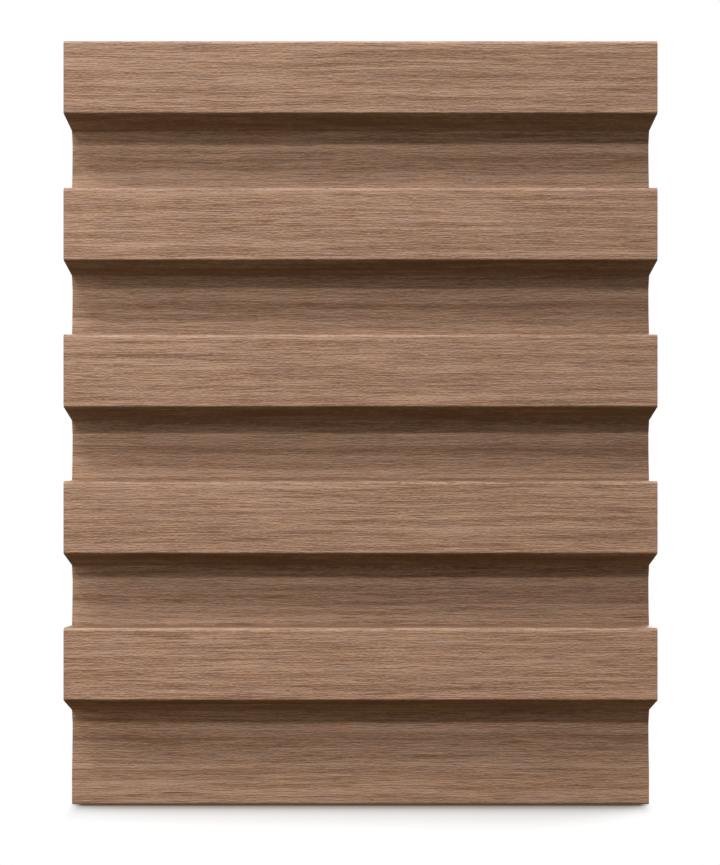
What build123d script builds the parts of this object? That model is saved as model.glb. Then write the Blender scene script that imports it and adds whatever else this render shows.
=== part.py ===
"""Sculpted wall panel: one length of ribbed wooden board with a lap joint along its long edges.

The frame: +X runs along the ribs, +Z up the wall, and -Y out of the wall towards the room.
The origin is the middle of the flat back face, which lies against the wall on Y = 0.
"""
from build123d import *
import os
from math import radians, tan

# Driving dimensions, in millimetres and degrees
LENGTH = 170.0  # along the ribs, measured at their front faces
THICKNESS = 26.0  # back face to rib front
RIB_COUNT = 5
RIB_PITCH = 42.0
RIB_FACE = 20.7  # height of a rib's front, with its rounded edges
GROOVE_DEPTH = 15.1  # rib front to the deepest line of a groove
UNDERSIDE_RAKE = 15.5  # how far a rib's underside falls as it goes back
FACET_HEIGHT = 4.0  # leaning facet between the underside and the scoop
FACET_SETBACK = 1.2  # how much that facet leans back over its height
SCOOP_RISE = 0.95  # how far the hollow scoop comes forward at its foot
LAP_HEIGHT = 10.0  # tongue below the last groove, hidden by the next panel
LAP_CLEARANCE = 0.4  # room for that tongue in the next panel's rebate
END_UNDERCUT = 5.1  # the ends lean inwards, so that panels butt tight at the face
UPPER_ARRIS = 1.0  # radius of a rib's upper front edge, rounded where a hand meets it
LOWER_ARRIS = 0.7  # radius of the lower front edges of the ribs and the tongue

# Sizes that follow from them
HEIGHT = RIB_COUNT * RIB_PITCH + LAP_HEIGHT
TOP = HEIGHT / 2
BOTTOM = -HEIGHT / 2
FRONT = -THICKNESS
GROOVE_HEIGHT = RIB_PITCH - RIB_FACE
CORNER_DEPTH = GROOVE_DEPTH - FACET_SETBACK
FOOT_DEPTH = GROOVE_DEPTH - SCOOP_RISE
TONGUE_THICKNESS = THICKNESS - FOOT_DEPTH
CUT_MARGIN = THICKNESS  # how far a cutting tool stands past the faces it goes through

# Sections are drawn across the ribs: the section's X is the panel's Y, its Y is the panel's Z
SECTION = Plane(origin=(0, 0, 0), x_dir=(0, 1, 0), z_dir=(1, 0, 0))


def along_ribs(section, length):
    """A section drawn across the ribs, made as long as that, centred on the panel's middle."""
    return extrude(SECTION * section, amount=length / 2, both=True)


def blank():
    """The plain board, with the rebate behind its top edge that takes the next panel's tongue."""
    board = Pos(FRONT / 2, 0) * Rectangle(THICKNESS, HEIGHT)
    rebate_depth = TONGUE_THICKNESS + LAP_CLEARANCE
    rebate_height = LAP_HEIGHT + LAP_CLEARANCE
    rebate = Pos(-rebate_depth, TOP - rebate_height) * Rectangle(
        rebate_depth, rebate_height, align=(Align.MIN, Align.MIN)
    )
    return along_ribs(board - rebate, LENGTH)


def groove(rib_top, floor):
    """The cutter for the groove below one rib, open to the front, with its flat foot going down to floor."""
    shoulder = rib_top - RIB_FACE
    corner = shoulder - CORNER_DEPTH * tan(radians(UNDERSIDE_RAKE))
    deepest = corner - FACET_HEIGHT
    foot = shoulder - GROOVE_HEIGHT
    outside = FRONT - CUT_MARGIN
    underside = Polyline(
        (outside, shoulder),
        (FRONT, shoulder),
        (FRONT + CORNER_DEPTH, corner),
        (FRONT + GROOVE_DEPTH, deepest),
    )
    scoop = TangentArc(
        (FRONT + GROOVE_DEPTH, deepest), (FRONT + FOOT_DEPTH, foot), tangent=(0, -1)
    )
    way_out = [(outside, floor), (outside, shoulder)]
    if floor < foot:
        way_out.insert(0, (FRONT + FOOT_DEPTH, floor))
    opening = Polyline((FRONT + FOOT_DEPTH, foot), *way_out)
    return along_ribs(make_face([underside, scoop, opening]), LENGTH + CUT_MARGIN)


def ribbed_board():
    """The board with its grooves cut, one below each rib; the last one runs out over the tongue."""
    board = blank()
    for rib in range(RIB_COUNT):
        rib_top = TOP - rib * RIB_PITCH
        last = rib == RIB_COUNT - 1
        floor = BOTTOM - CUT_MARGIN if last else rib_top - RIB_PITCH
        board -= groove(rib_top, floor)
    return board


def rib_fronts(board):
    """The flat front faces of the ribs."""
    return board.faces().filter_by(Axis.Y).group_by(Axis.Y)[0]


def eased(board):
    """The board with its long front edges rounded, more above each rib's front than below it."""
    upper_edges = [front.edges().sort_by(Axis.Z)[-1] for front in rib_fronts(board)]
    rounded = fillet(upper_edges, UPPER_ARRIS)
    lower_edges = [front.edges().sort_by(Axis.Z)[0] for front in rib_fronts(rounded)]
    lowest_face = rounded.faces().sort_by(Axis.Z)[0]
    tongue_edge = lowest_face.edges().sort_by(Axis.Y)[0]
    return fillet([*lower_edges, tongue_edge], LOWER_ARRIS)


def end_cut(board):
    """The board with both ends cut back behind its face, their edges left as sharp as they were sawn."""
    lean = tan(radians(END_UNDERCUT))
    front_half = LENGTH / 2
    back_half = front_half - THICKNESS * lean
    plan = Polygon(
        (-front_half, FRONT), (front_half, FRONT), (back_half, 0), (-back_half, 0), align=None
    )
    return board & extrude(plan, amount=HEIGHT, both=True)


panel = end_cut(eased(ribbed_board()))
panel.label = "ribbed_panel"

os.makedirs("parts", exist_ok=True)
export_step(panel, f"parts/{panel.label}.step")
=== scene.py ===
import math

import bpy
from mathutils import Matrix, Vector


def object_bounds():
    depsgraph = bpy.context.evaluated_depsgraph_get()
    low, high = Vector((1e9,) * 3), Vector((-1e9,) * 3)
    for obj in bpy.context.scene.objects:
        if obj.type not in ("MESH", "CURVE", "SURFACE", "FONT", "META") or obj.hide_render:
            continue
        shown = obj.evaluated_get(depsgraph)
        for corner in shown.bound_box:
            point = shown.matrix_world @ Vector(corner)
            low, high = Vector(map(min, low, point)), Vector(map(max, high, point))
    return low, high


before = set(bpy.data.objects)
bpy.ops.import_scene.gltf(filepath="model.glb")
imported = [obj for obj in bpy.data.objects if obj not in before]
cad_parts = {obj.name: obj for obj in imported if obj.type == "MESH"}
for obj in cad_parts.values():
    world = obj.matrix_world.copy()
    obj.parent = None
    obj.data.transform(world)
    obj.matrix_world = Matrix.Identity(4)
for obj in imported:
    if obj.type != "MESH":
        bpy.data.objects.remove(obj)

cad_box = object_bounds()
MM = 0.001

# The panel's sizes that the finish follows, in millimetres
TOP = cad_box[1].z / MM
BOTTOM = cad_box[0].z / MM
RIB_FRONT = cad_box[0].y / MM
RIB_PITCH = 42.0
TONGUE_START = BOTTOM + 16.0  # where the painted shade of the last groove gives way to the tongue's painted light

# The camera stands straight in front of the panel, level with its middle, as the photograph's did
PHOTO_HEIGHT = 865  # pixels, the frame's long side
PIXELS_PER_MM = 3.495  # on the rib fronts
CAMERA_DISTANCE = 985 * MM  # from the rib fronts
CAMERA_DROP = 2.07 * MM  # below the panel's middle
CAMERA_ASIDE = 0.15 * MM  # to the left of it
SENSOR = 36.0  # millimetres, along the frame's long side

# Lamps: where each one stands, how large it is in metres, and its share of the light that shows a
# colour as it is written
KEY = {"azimuth": -13, "elevation": 26, "distance": 2.0, "spread": 2.0, "share": 0.31}
SOFTBOX = {"azimuth": -28, "elevation": 52, "distance": 1.6, "wide": 0.7, "high": 0.3, "share": 0.50}
SIDE = {"azimuth": -60, "elevation": 13, "distance": 0.62, "wide": 0.2, "high": 0.35, "share": 0.48}
OVERHEAD = {"azimuth": 0, "elevation": 88, "distance": 1.2, "wide": 0.7, "high": 0.5, "share": 0.62}
BEHIND = {"azimuth": 160, "elevation": 20, "distance": 1.2, "wide": 0.8, "high": 0.6, "share": 0.70}
AMBIENT = 0.04  # of a white background's light, from all round

# The floor: a white one to look at, and a darker one for the light that it throws back on the panel
FLOOR_HALF = 3.0  # metres
FLOOR_SHADE = 0.85  # of white, where the lamps light it
UNSEEN_FAR = (0.16, 0.16, 0.16)
UNSEEN_NEAR_PAINTED_WARMTH = (0.29, 0.23, 0.18)  # painted warm near the panel, standing in for the wood-coloured light thrown back there
NEAR_PANEL = (-130.0, -40.0)  # from far to near along Y, in millimetres

# The floor's painted shadow, with lengths in millimetres and ranges that go from none of it to all of it
SHADOW_LAYERS = [(6.0, 1.0), (30.0, 0.7), (90.0, 0.25)]  # how far each layer reaches, and its strength
SHADOW_SAMPLES = 16
SHADOW_ENDS = (84.5, 80.5)  # away from the middle along X, so that it stays between the panel's ends
LIT_BEHIND = (0.0, -20.0)  # along Y, where the lamps' own light and shadow begin in front of the back
LIT_AHEAD = (-260.0, -120.0)  # along Y, where they have faded into the white in front
PAINTED_EDGE_LINE = (-17.5, -15.5)  # along Y, a painted shadow line that runs in under the tongue's lower edge
PAINTED_EDGE_DARKNESS = 0.45
# painted warm light thrown back from the wood into the floor's shadow
PAINTED_WARM_SHADE = (1.0, 0.78, 0.62)
WARM_RANGE = (0.2, 0.8)  # of the shadow's brightness, from all warm to all white

# The wood's colour, as the share of red, green and blue light that it gives back
WOOD_COLOUR = (0.316, 0.181, 0.112)
TONE_STEP = (0.141, 0.174, 0.208)  # one standard step of the grain's tone, in natural logarithms
HUE_STEP = (-0.018, -0.006, 0.017)  # one standard step towards a greyer pink
UNDERSIDE_PAINTED_SHADE_TINT = (1.03, 1.15, 1.11)  # a little yellower under the ribs: painted colour of their shade
GROOVE_PAINTED_SHADE_TINT = (1.0, 1.025, 1.03)  # and a little greyer down in the grooves: painted colour of their shade
END_STAIN = (0.72, 0.66, 0.60)  # stain soaks deeper into the open end grain

# Layers of the grain: cells along X, Y and Z in millimetres, and steps of tone
FIBRES = [
    ((1.1, 0.20, 0.14), 8.4),
    ((3.0, 0.20, 0.14), 8.4),
    ((7.0, 0.20, 0.14), 7.8),
    ((16.0, 0.20, 0.16), 4.8),
]
BANDS = [
    ((24.0, 3.0, 1.5), 2.8),
    ((48.0, 4.0, 1.5), 2.8),
    ((90.0, 4.0, 0.9), 3.6),
]
FIBRE_SHADE = (0.29, 0.35)  # how far below a light fibre its shade lies, in millimetres, and its depth
PORES = ((12.0, 0.24, 0.18), 0.20, -88.0)  # cells, the noise over which a pore shows, steps of tone
LESS_IN_GROOVE = 0.22  # of the contrast of the grain, which is softer down in a groove
LESS_UNDER_RIB = 0.33  # and under a rib
RING_SPACING = 3.9  # millimetres
RING_STEPS = 0.6
END_RING_STEPS = 1.2  # more, where the rings come out at an end
RING_LEAN = 0.45  # how far they drop for each millimetre towards the back
RING_WANDER = ((50.0, 9.0, 7.0), 9.0)  # cells, and how far they wander, in radians of a ring's turn
BENDS = [((70.0, 40.0, 22.0), 1.6), ((16.0, 12.0, 5.0), 0.14)]  # cells, and millimetres up and down
HUE_PATCHES = ((9.0, 5.0, 3.2), 10.0)  # cells, and steps of hue
SEED_STRIDE = (7.13, 3.71, 5.37)  # how far apart two seeds' noise is taken, in cells
BEND_SEED = 1
FIBRE_SEED = 3
PORE_SEED = 15
HUE_SEED = 17
RING_SEED = 20
BAND_SEED = 31

# Where the finish and the painted shade change: the start and the end of each change
INTO_GROOVE = (RIB_FRONT + 1.0, RIB_FRONT + 11.0)  # along Y, in millimetres
TURNED_DOWN = (-0.1, -0.5)  # by the normal's Z
TURNED_TO_ROOM = (-0.02, -0.2)  # by the normal's Y
TURNED_TO_END = (0.75, 0.95)  # by the normal's X, either way

# The surface: a faint shine, weaker down in a groove and gone under a rib
SHINE = 0.30
SHINE_LOST_IN_GROOVE = 0.08
SHINE_LOST_UNDER_RIB = 0.30
ROUGHNESS = 0.52
FIBRE_ROUGHNESS = 0.25  # how much the fibres change it
BAND_ROUGHNESS = 0.20  # and the bands
RELIEF = (1.0, 0.7)  # shares of the two longest layers of fibres
RELIEF_STRENGTH = 0.25
RELIEF_DEPTH = 0.05  # millimetres

# Painted light and shade in steps of tone down one rib and the groove below it, by the distance from the
# rib's
# top in millimetres: painted highlights on both edges of the front, and painted shade under the rib and
# across the scoop
PAINTED_PROFILE = [
    (0.0, 0.8), (1.2, 0.8), (3.0, 0.0), (19.4, 0.0), (20.2, 1.0),
    (20.6, -2.6), (21.8, -2.9), (24.5, -1.3), (28.5, 0.0),
    (30.5, 0.2), (33.0, -1.8), (36.0, 0.0), (38.0, 0.5), (40.7, 1.0), (41.6, -0.5), (RIB_PITCH, -0.5),
]
TONGUE_PAINTED_LIGHT = (0.0, 0.9)  # steps of painted light where the tongue's tone starts and at its bottom edge, lighter towards the bottom

# Tone of the wood for each step of the grain: pores are darker than light fibres are light
TONE_CURVE = [(-4.0, -4.7), (-2.5, -2.9), (-1.0, -1.0), (0.0, 0.1), (1.0, 1.0), (2.5, 2.2), (4.0, 3.0)]
HUE_CURVE = [(-3.0, -3.0), (0.0, 0.0), (3.0, 3.0)]


def metres(lengths):
    """Lengths in millimetres, in Blender's unit."""
    return [length * MM for length in lengths]


def new_node(tree, kind, **settings):
    """A node of that kind, with those properties."""
    made = tree.nodes.new(kind)
    for name, value in settings.items():
        setattr(made, name, value)
    return made


def feed(tree, socket, value):
    """Links a socket to another one, or sets its value."""
    if isinstance(value, bpy.types.NodeSocket):
        tree.links.new(value, socket)
    else:
        socket.default_value = value


def math_node(tree, operation, *values, clamp=False):
    made = new_node(tree, "ShaderNodeMath", operation=operation, use_clamp=clamp)
    for socket, value in zip(made.inputs, values):
        feed(tree, socket, value)
    return made.outputs[0]


def vector_node(tree, operation, *values):
    made = new_node(tree, "ShaderNodeVectorMath", operation=operation)
    for socket, value in zip(made.inputs, values):
        feed(tree, socket, value)
    return made.outputs[0]


def smooth_step(tree, value, start, end):
    """Goes smoothly from 0 at start to 1 at end."""
    made = new_node(tree, "ShaderNodeMapRange", interpolation_type="SMOOTHSTEP")
    feed(tree, made.inputs["Value"], value)
    made.inputs["From Min"].default_value = start
    made.inputs["From Max"].default_value = end
    return made.outputs["Result"]


def noise(tree, point, cell, seed, detail=0.0):
    """Smooth noise about zero, with cells of those sizes in millimetres along X, Y and Z."""
    scale = tuple(1 / (size * MM) for size in cell)
    offset = tuple(seed * stride for stride in SEED_STRIDE)
    made = new_node(tree, "ShaderNodeTexNoise", noise_dimensions="3D")
    feed(tree, made.inputs["Vector"], vector_node(tree, "MULTIPLY_ADD", point, scale, offset))
    made.inputs["Scale"].default_value = 1.0
    made.inputs["Detail"].default_value = detail
    return math_node(tree, "SUBTRACT", made.outputs[0], 0.5)


def weighted_sum(tree, terms):
    """The sum of (socket, weight) pairs."""
    total = 0.0
    for socket, weight in terms:
        total = math_node(tree, "MULTIPLY_ADD", socket, weight, total)
    return total


def ramp(tree, place, stops):
    """A colour that goes straight from stop to stop, each a (place from 0 to 1, colour) pair."""
    made = new_node(tree, "ShaderNodeValToRGB")
    elements = made.color_ramp.elements
    while len(elements) < len(stops):
        elements.new(1.0)
    for element, (position, colour) in zip(elements, stops):
        element.position = position
        element.color = (*colour, 1.0)
    feed(tree, made.inputs["Fac"], place)
    return made.outputs["Color"]


def tone_ramp(tree, steps, curve, step, middle):
    """The middle colour made darker or lighter by the curve's tone for each number of steps."""
    low, high = curve[0][0], curve[-1][0]
    span = high - low
    stops = []
    for at, tone in curve:
        colour = [share * math.exp(tone * size) for share, size in zip(middle, step)]
        stops.append(((at - low) / span, colour))
    return ramp(tree, math_node(tree, "MULTIPLY_ADD", steps, 1 / span, -low / span), stops)


def mix_colours(tree, share, one, other, blend="MIX"):
    made = new_node(tree, "ShaderNodeMix", data_type="RGBA", blend_type=blend)
    colour_inputs = [socket for socket in made.inputs if socket.type == "RGBA"]
    colour_output = next(socket for socket in made.outputs if socket.type == "RGBA")
    feed(tree, made.inputs[0], share)
    feed(tree, colour_inputs[0], one)
    feed(tree, colour_inputs[1], other)
    return colour_output


def tinted(tree, share, colour, tint):
    """The colour with that share of a tint multiplied in."""
    whole = mix_colours(tree, 1.0, colour, (*tint, 1), "MULTIPLY")
    return mix_colours(tree, share, colour, whole)


def split_axes(tree, socket):
    """The X, Y and Z of a vector, by their letters."""
    made = new_node(tree, "ShaderNodeSeparateXYZ")
    feed(tree, made.inputs[0], socket)
    return made.outputs


def bent_along_grain(tree, point):
    """The point moved a little up and down, so that the fibres wave instead of running dead straight."""
    waves = []
    for index, (cell, size) in enumerate(BENDS):
        waves.append((noise(tree, point, cell, BEND_SEED + index), size * MM))
    shift = new_node(tree, "ShaderNodeCombineXYZ")
    feed(tree, shift.inputs["Z"], weighted_sum(tree, waves))
    return vector_node(tree, "ADD", point, shift.outputs[0])


def growth_rings(tree, point):
    """Soft bands, one ring's spacing apart, that run along the board and lean back through it."""
    axes = split_axes(tree, point)
    cell, wander = RING_WANDER
    across = math_node(tree, "MULTIPLY_ADD", axes["Y"], RING_LEAN, axes["Z"])
    phase = math_node(tree, "MULTIPLY", across, 2 * math.pi / (RING_SPACING * MM))
    phase = math_node(tree, "MULTIPLY_ADD", noise(tree, point, cell, RING_SEED), wander, phase)
    return math_node(tree, "SINE", phase)


def fibre(tree, point, cell, seed):
    """Noise for thin fibres, each with a faint shade along its lower side."""
    drop, depth = FIBRE_SHADE
    above = vector_node(tree, "ADD", point, (0, 0, drop * MM))
    shade = noise(tree, above, cell, seed)
    return math_node(tree, "MULTIPLY_ADD", shade, -depth, noise(tree, point, cell, seed))


def pores(tree, point):
    """Steps of tone in the sparse dark pores, which are thin lines along the grain."""
    cell, start, steps = PORES
    over = math_node(tree, "SUBTRACT", noise(tree, point, cell, PORE_SEED), start)
    return math_node(tree, "MULTIPLY", math_node(tree, "MAXIMUM", over, 0.0), steps)


def painted_profile_shading(tree, height):
    """The steps of painted light and shade at that height of the moulding's profile, which is the same at
    every rib.
    """
    low, high = min(tone for _, tone in PAINTED_PROFILE), max(tone for _, tone in PAINTED_PROFILE)
    stops = [(distance / RIB_PITCH, [(tone - low) / (high - low)] * 3) for distance, tone in PAINTED_PROFILE]
    below_top = math_node(tree, "MULTIPLY_ADD", height, -1 / (RIB_PITCH * MM), TOP / RIB_PITCH)
    level = ramp(tree, math_node(tree, "FRACT", below_top), stops)
    on_rib = math_node(tree, "MULTIPLY_ADD", level, high - low, low)

    # painted light on the tongue, lighter towards its bottom edge
    upper, lower = TONGUE_PAINTED_LIGHT
    down_tongue = smooth_step(tree, height, TONGUE_START * MM, BOTTOM * MM)
    on_tongue = math_node(tree, "MULTIPLY_ADD", down_tongue, lower - upper, upper)
    below_groove = math_node(tree, "LESS_THAN", height, TONGUE_START * MM)
    change = math_node(tree, "SUBTRACT", on_tongue, on_rib)
    return math_node(tree, "MULTIPLY_ADD", below_groove, change, on_rib)


def wood_colour(tree, grain, axes, point, masks):
    """The wood's colour, from the layers of its grain and its growth rings, with light and shade painted
    along the moulding's profile.
    """
    softening = [(masks["in_groove"], LESS_IN_GROOVE), (masks["facing_down"], LESS_UNDER_RIB)]
    contrast = math_node(tree, "SUBTRACT", 1.0, weighted_sum(tree, softening))
    ring_steps = math_node(tree, "MULTIPLY_ADD", masks["at_end"], END_RING_STEPS, RING_STEPS)
    # the profile adds painted light and shade, only on the faces turned to the room
    broad = [(growth_rings(tree, point), ring_steps), (painted_profile_shading(tree, axes["Z"]), masks["moulded"])]
    tone = math_node(tree, "MULTIPLY_ADD", weighted_sum(tree, grain), contrast, weighted_sum(tree, broad))
    cell, hue_steps = HUE_PATCHES
    hue = math_node(tree, "MULTIPLY", noise(tree, point, cell, HUE_SEED, detail=1.0), hue_steps)

    colour = tone_ramp(tree, tone, TONE_CURVE, TONE_STEP, WOOD_COLOUR)
    hue_tint = tone_ramp(tree, hue, HUE_CURVE, HUE_STEP, (1.0, 1.0, 1.0))
    colour = mix_colours(tree, 1.0, colour, hue_tint, "MULTIPLY")
    colour = tinted(tree, masks["at_end"], colour, END_STAIN)
    # painted colour of the shade down in the grooves and under the ribs
    colour = tinted(tree, masks["in_groove"], colour, GROOVE_PAINTED_SHADE_TINT)
    return tinted(tree, masks["facing_down"], colour, UNDERSIDE_PAINTED_SHADE_TINT)


def wood():
    """Solid wood with its grain along X: fibres, pores, soft growth rings, and end grain at the ends."""
    material = bpy.data.materials.new("brown_wood")
    material.use_nodes = True
    tree = material.node_tree
    shader = tree.nodes["Principled BSDF"]
    coordinates = new_node(tree, "ShaderNodeTexCoord")
    axes = split_axes(tree, coordinates.outputs["Object"])
    facing = split_axes(tree, coordinates.outputs["Normal"])
    point = bent_along_grain(tree, coordinates.outputs["Object"])
    masks = {
        "in_groove": smooth_step(tree, axes["Y"], *metres(INTO_GROOVE)),
        "facing_down": smooth_step(tree, facing["Z"], *TURNED_DOWN),
        "moulded": smooth_step(tree, facing["Y"], *TURNED_TO_ROOM),
        "at_end": smooth_step(tree, math_node(tree, "ABSOLUTE", facing["X"]), *TURNED_TO_END),
    }

    fibres = [fibre(tree, point, cell, FIBRE_SEED + index) for index, (cell, _) in enumerate(FIBRES)]
    bands = [noise(tree, point, cell, BAND_SEED + index) for index, (cell, _) in enumerate(BANDS)]
    grain = [(layer, steps) for layer, (_, steps) in zip(fibres + bands, FIBRES + BANDS)]
    grain.append((pores(tree, point), 1.0))
    feed(tree, shader.inputs["Base Color"], wood_colour(tree, grain, axes, point, masks))

    lost = [(masks["in_groove"], SHINE_LOST_IN_GROOVE), (masks["facing_down"], SHINE_LOST_UNDER_RIB)]
    shine = math_node(tree, "SUBTRACT", SHINE, weighted_sum(tree, lost), clamp=True)
    feed(tree, shader.inputs["Specular IOR Level"], shine)
    rough = weighted_sum(tree, [(fibres[1], FIBRE_ROUGHNESS), (bands[1], BAND_ROUGHNESS)])
    feed(tree, shader.inputs["Roughness"], math_node(tree, "ADD", rough, ROUGHNESS))
    bump = new_node(tree, "ShaderNodeBump")
    bump.inputs["Strength"].default_value = RELIEF_STRENGTH
    bump.inputs["Distance"].default_value = RELIEF_DEPTH * MM
    feed(tree, bump.inputs["Height"], weighted_sum(tree, zip(fibres[-2:], RELIEF)))
    feed(tree, shader.inputs["Normal"], bump.outputs[0])
    return material


def seen_directly(tree):
    """1 for the rays by which the camera sees a surface, also in a mirror or through glass."""
    path = new_node(tree, "ShaderNodeLightPath")
    seen = math_node(tree, "ADD", path.outputs["Is Camera Ray"], path.outputs["Is Glossy Ray"])
    return math_node(tree, "ADD", seen, path.outputs["Is Transmission Ray"], clamp=True)


def painted_floor_shadow(tree, axes, between_ends):
    """The floor's colour: white, with a painted shadow, dark and warm, close to the panel."""
    shadow = 1.0
    for reach, strength in SHADOW_LAYERS:
        layer = new_node(tree, "ShaderNodeAmbientOcclusion", samples=SHADOW_SAMPLES)
        layer.inputs["Distance"].default_value = reach * MM
        shadow = math_node(tree, "MULTIPLY", math_node(tree, "POWER", layer.outputs["AO"], strength), shadow)
    # a painted shadow line in front of the tongue's lower edge
    edge = smooth_step(tree, axes["Y"], *metres(PAINTED_EDGE_LINE))
    edge = math_node(tree, "MULTIPLY", edge, math_node(tree, "LESS_THAN", axes["Y"], 0.0))
    shadow = math_node(tree, "MULTIPLY", shadow, math_node(tree, "MULTIPLY_ADD", edge, -PAINTED_EDGE_DARKNESS, 1.0))
    # painted warm light thrown back from the wood into the shadow
    painted_warmth = mix_colours(tree, smooth_step(tree, shadow, *WARM_RANGE), (*PAINTED_WARM_SHADE, 1), (1, 1, 1, 1))
    return mix_colours(tree, between_ends, (1, 1, 1, 1), mix_colours(tree, 1.0, painted_warmth, shadow, "MULTIPLY"))


def mixed_shaders(tree, share, one, other):
    made = new_node(tree, "ShaderNodeMixShader")
    feed(tree, made.inputs[0], share)
    feed(tree, made.inputs[1], one.outputs[0])
    feed(tree, made.inputs[2], other.outputs[0])
    return made


def floor_material():
    """A white floor with the panel's shadow in front, partly painted and partly cast by the lamps, fading
    into the white background.
    """
    material = bpy.data.materials.new("floor_white")
    material.use_nodes = True
    tree = material.node_tree
    tree.nodes.clear()
    axes = split_axes(tree, new_node(tree, "ShaderNodeTexCoord").outputs["Object"])
    off_middle = math_node(tree, "ABSOLUTE", axes["X"])
    between_ends = smooth_step(tree, off_middle, *metres(SHADOW_ENDS))
    colour = painted_floor_shadow(tree, axes, between_ends)

    lit = new_node(tree, "ShaderNodeBsdfDiffuse")
    shade = (FLOOR_SHADE, FLOOR_SHADE, FLOOR_SHADE, 1)
    feed(tree, lit.inputs["Color"], mix_colours(tree, 1.0, colour, shade, "MULTIPLY"))
    # seen from the camera: white with the painted shadow
    white = new_node(tree, "ShaderNodeEmission")
    feed(tree, white.inputs["Color"], colour)
    in_front = smooth_step(tree, axes["Y"], *metres(LIT_BEHIND))
    not_far = smooth_step(tree, axes["Y"], *metres(LIT_AHEAD))
    lit_share = math_node(tree, "MULTIPLY", math_node(tree, "MULTIPLY", in_front, not_far), between_ends)
    seen = mixed_shaders(tree, lit_share, white, lit)

    unseen = new_node(tree, "ShaderNodeBsdfDiffuse")
    # the unseen floor is painted warmer near the panel, for the wood-coloured light thrown back there
    near = smooth_step(tree, axes["Y"], *metres(NEAR_PANEL))
    feed(tree, unseen.inputs["Color"], mix_colours(tree, near, (*UNSEEN_FAR, 1), (*UNSEEN_NEAR_PAINTED_WARMTH, 1)))
    output = new_node(tree, "ShaderNodeOutputMaterial")
    surface = mixed_shaders(tree, seen_directly(tree), unseen, seen)
    feed(tree, output.inputs["Surface"], surface.outputs[0])
    return material


def add_floor():
    level = cad_box[0].z
    corners = [(x * FLOOR_HALF, y * FLOOR_HALF, level) for x, y in ((-1, -1), (1, -1), (1, 1), (-1, 1))]
    mesh = bpy.data.meshes.new("floor")
    mesh.from_pydata(corners, [], [(0, 1, 2, 3)])
    mesh.materials.append(floor_material())
    floor = bpy.data.objects.new("floor", mesh)
    bpy.context.scene.collection.objects.link(floor)


def add_world():
    """White where it is seen, and a little light from all round."""
    world = bpy.data.worlds.new("studio")
    world.use_nodes = True
    tree = world.node_tree
    background = tree.nodes["Background"]
    background.inputs["Color"].default_value = (1, 1, 1, 1)
    strength = math_node(tree, "MULTIPLY_ADD", seen_directly(tree), 1 - AMBIENT, AMBIENT)
    feed(tree, background.inputs["Strength"], strength)
    bpy.context.scene.world = world


def direction(azimuth, elevation):
    """From the panel towards a lamp: azimuth 0 is straight in front, and negative is to the left."""
    a, e = math.radians(azimuth), math.radians(elevation)
    return Vector((math.sin(a) * math.cos(e), -math.cos(a) * math.cos(e), math.sin(e)))


def add_lamp(name, data, azimuth, elevation, distance):
    lamp = bpy.data.objects.new(name, data)
    towards = direction(azimuth, elevation)
    lamp.location = (cad_box[0] + cad_box[1]) / 2 + towards * distance
    lamp.rotation_mode = "QUATERNION"
    lamp.rotation_quaternion = towards.to_track_quat("Z", "Y")
    bpy.context.scene.collection.objects.link(lamp)


def add_key(azimuth, elevation, distance, spread, share):
    data = bpy.data.lights.new("key", "SUN")
    data.energy = math.pi * share
    data.angle = math.radians(spread)
    add_lamp("key", data, azimuth, elevation, distance)


def add_softbox(name, azimuth, elevation, distance, wide, high, share):
    data = bpy.data.lights.new(name, "AREA")
    data.energy = (math.pi * distance) ** 2 * share
    data.shape = "RECTANGLE"
    data.size = wide
    data.size_y = high
    add_lamp(name, data, azimuth, elevation, distance)


def add_camera():
    data = bpy.data.cameras.new("camera")
    data.sensor_width = SENSOR
    data.lens = SENSOR * PIXELS_PER_MM * (CAMERA_DISTANCE / MM) / PHOTO_HEIGHT
    camera = bpy.data.objects.new("camera", data)
    camera.location = (-CAMERA_ASIDE, cad_box[0].y - CAMERA_DISTANCE, -CAMERA_DROP)
    camera.rotation_euler = (math.radians(90), 0, 0)
    bpy.context.scene.collection.objects.link(camera)
    bpy.context.scene.camera = camera


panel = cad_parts["ribbed_panel"]
panel.data.materials.clear()
panel.data.materials.append(wood())

add_floor()
add_world()
add_key(**KEY)
add_softbox("softbox", **SOFTBOX)
add_softbox("side", **SIDE)
add_softbox("overhead", **OVERHEAD)
add_softbox("behind", **BEHIND)
add_camera()
bpy.context.scene.view_settings.view_transform = "Standard"
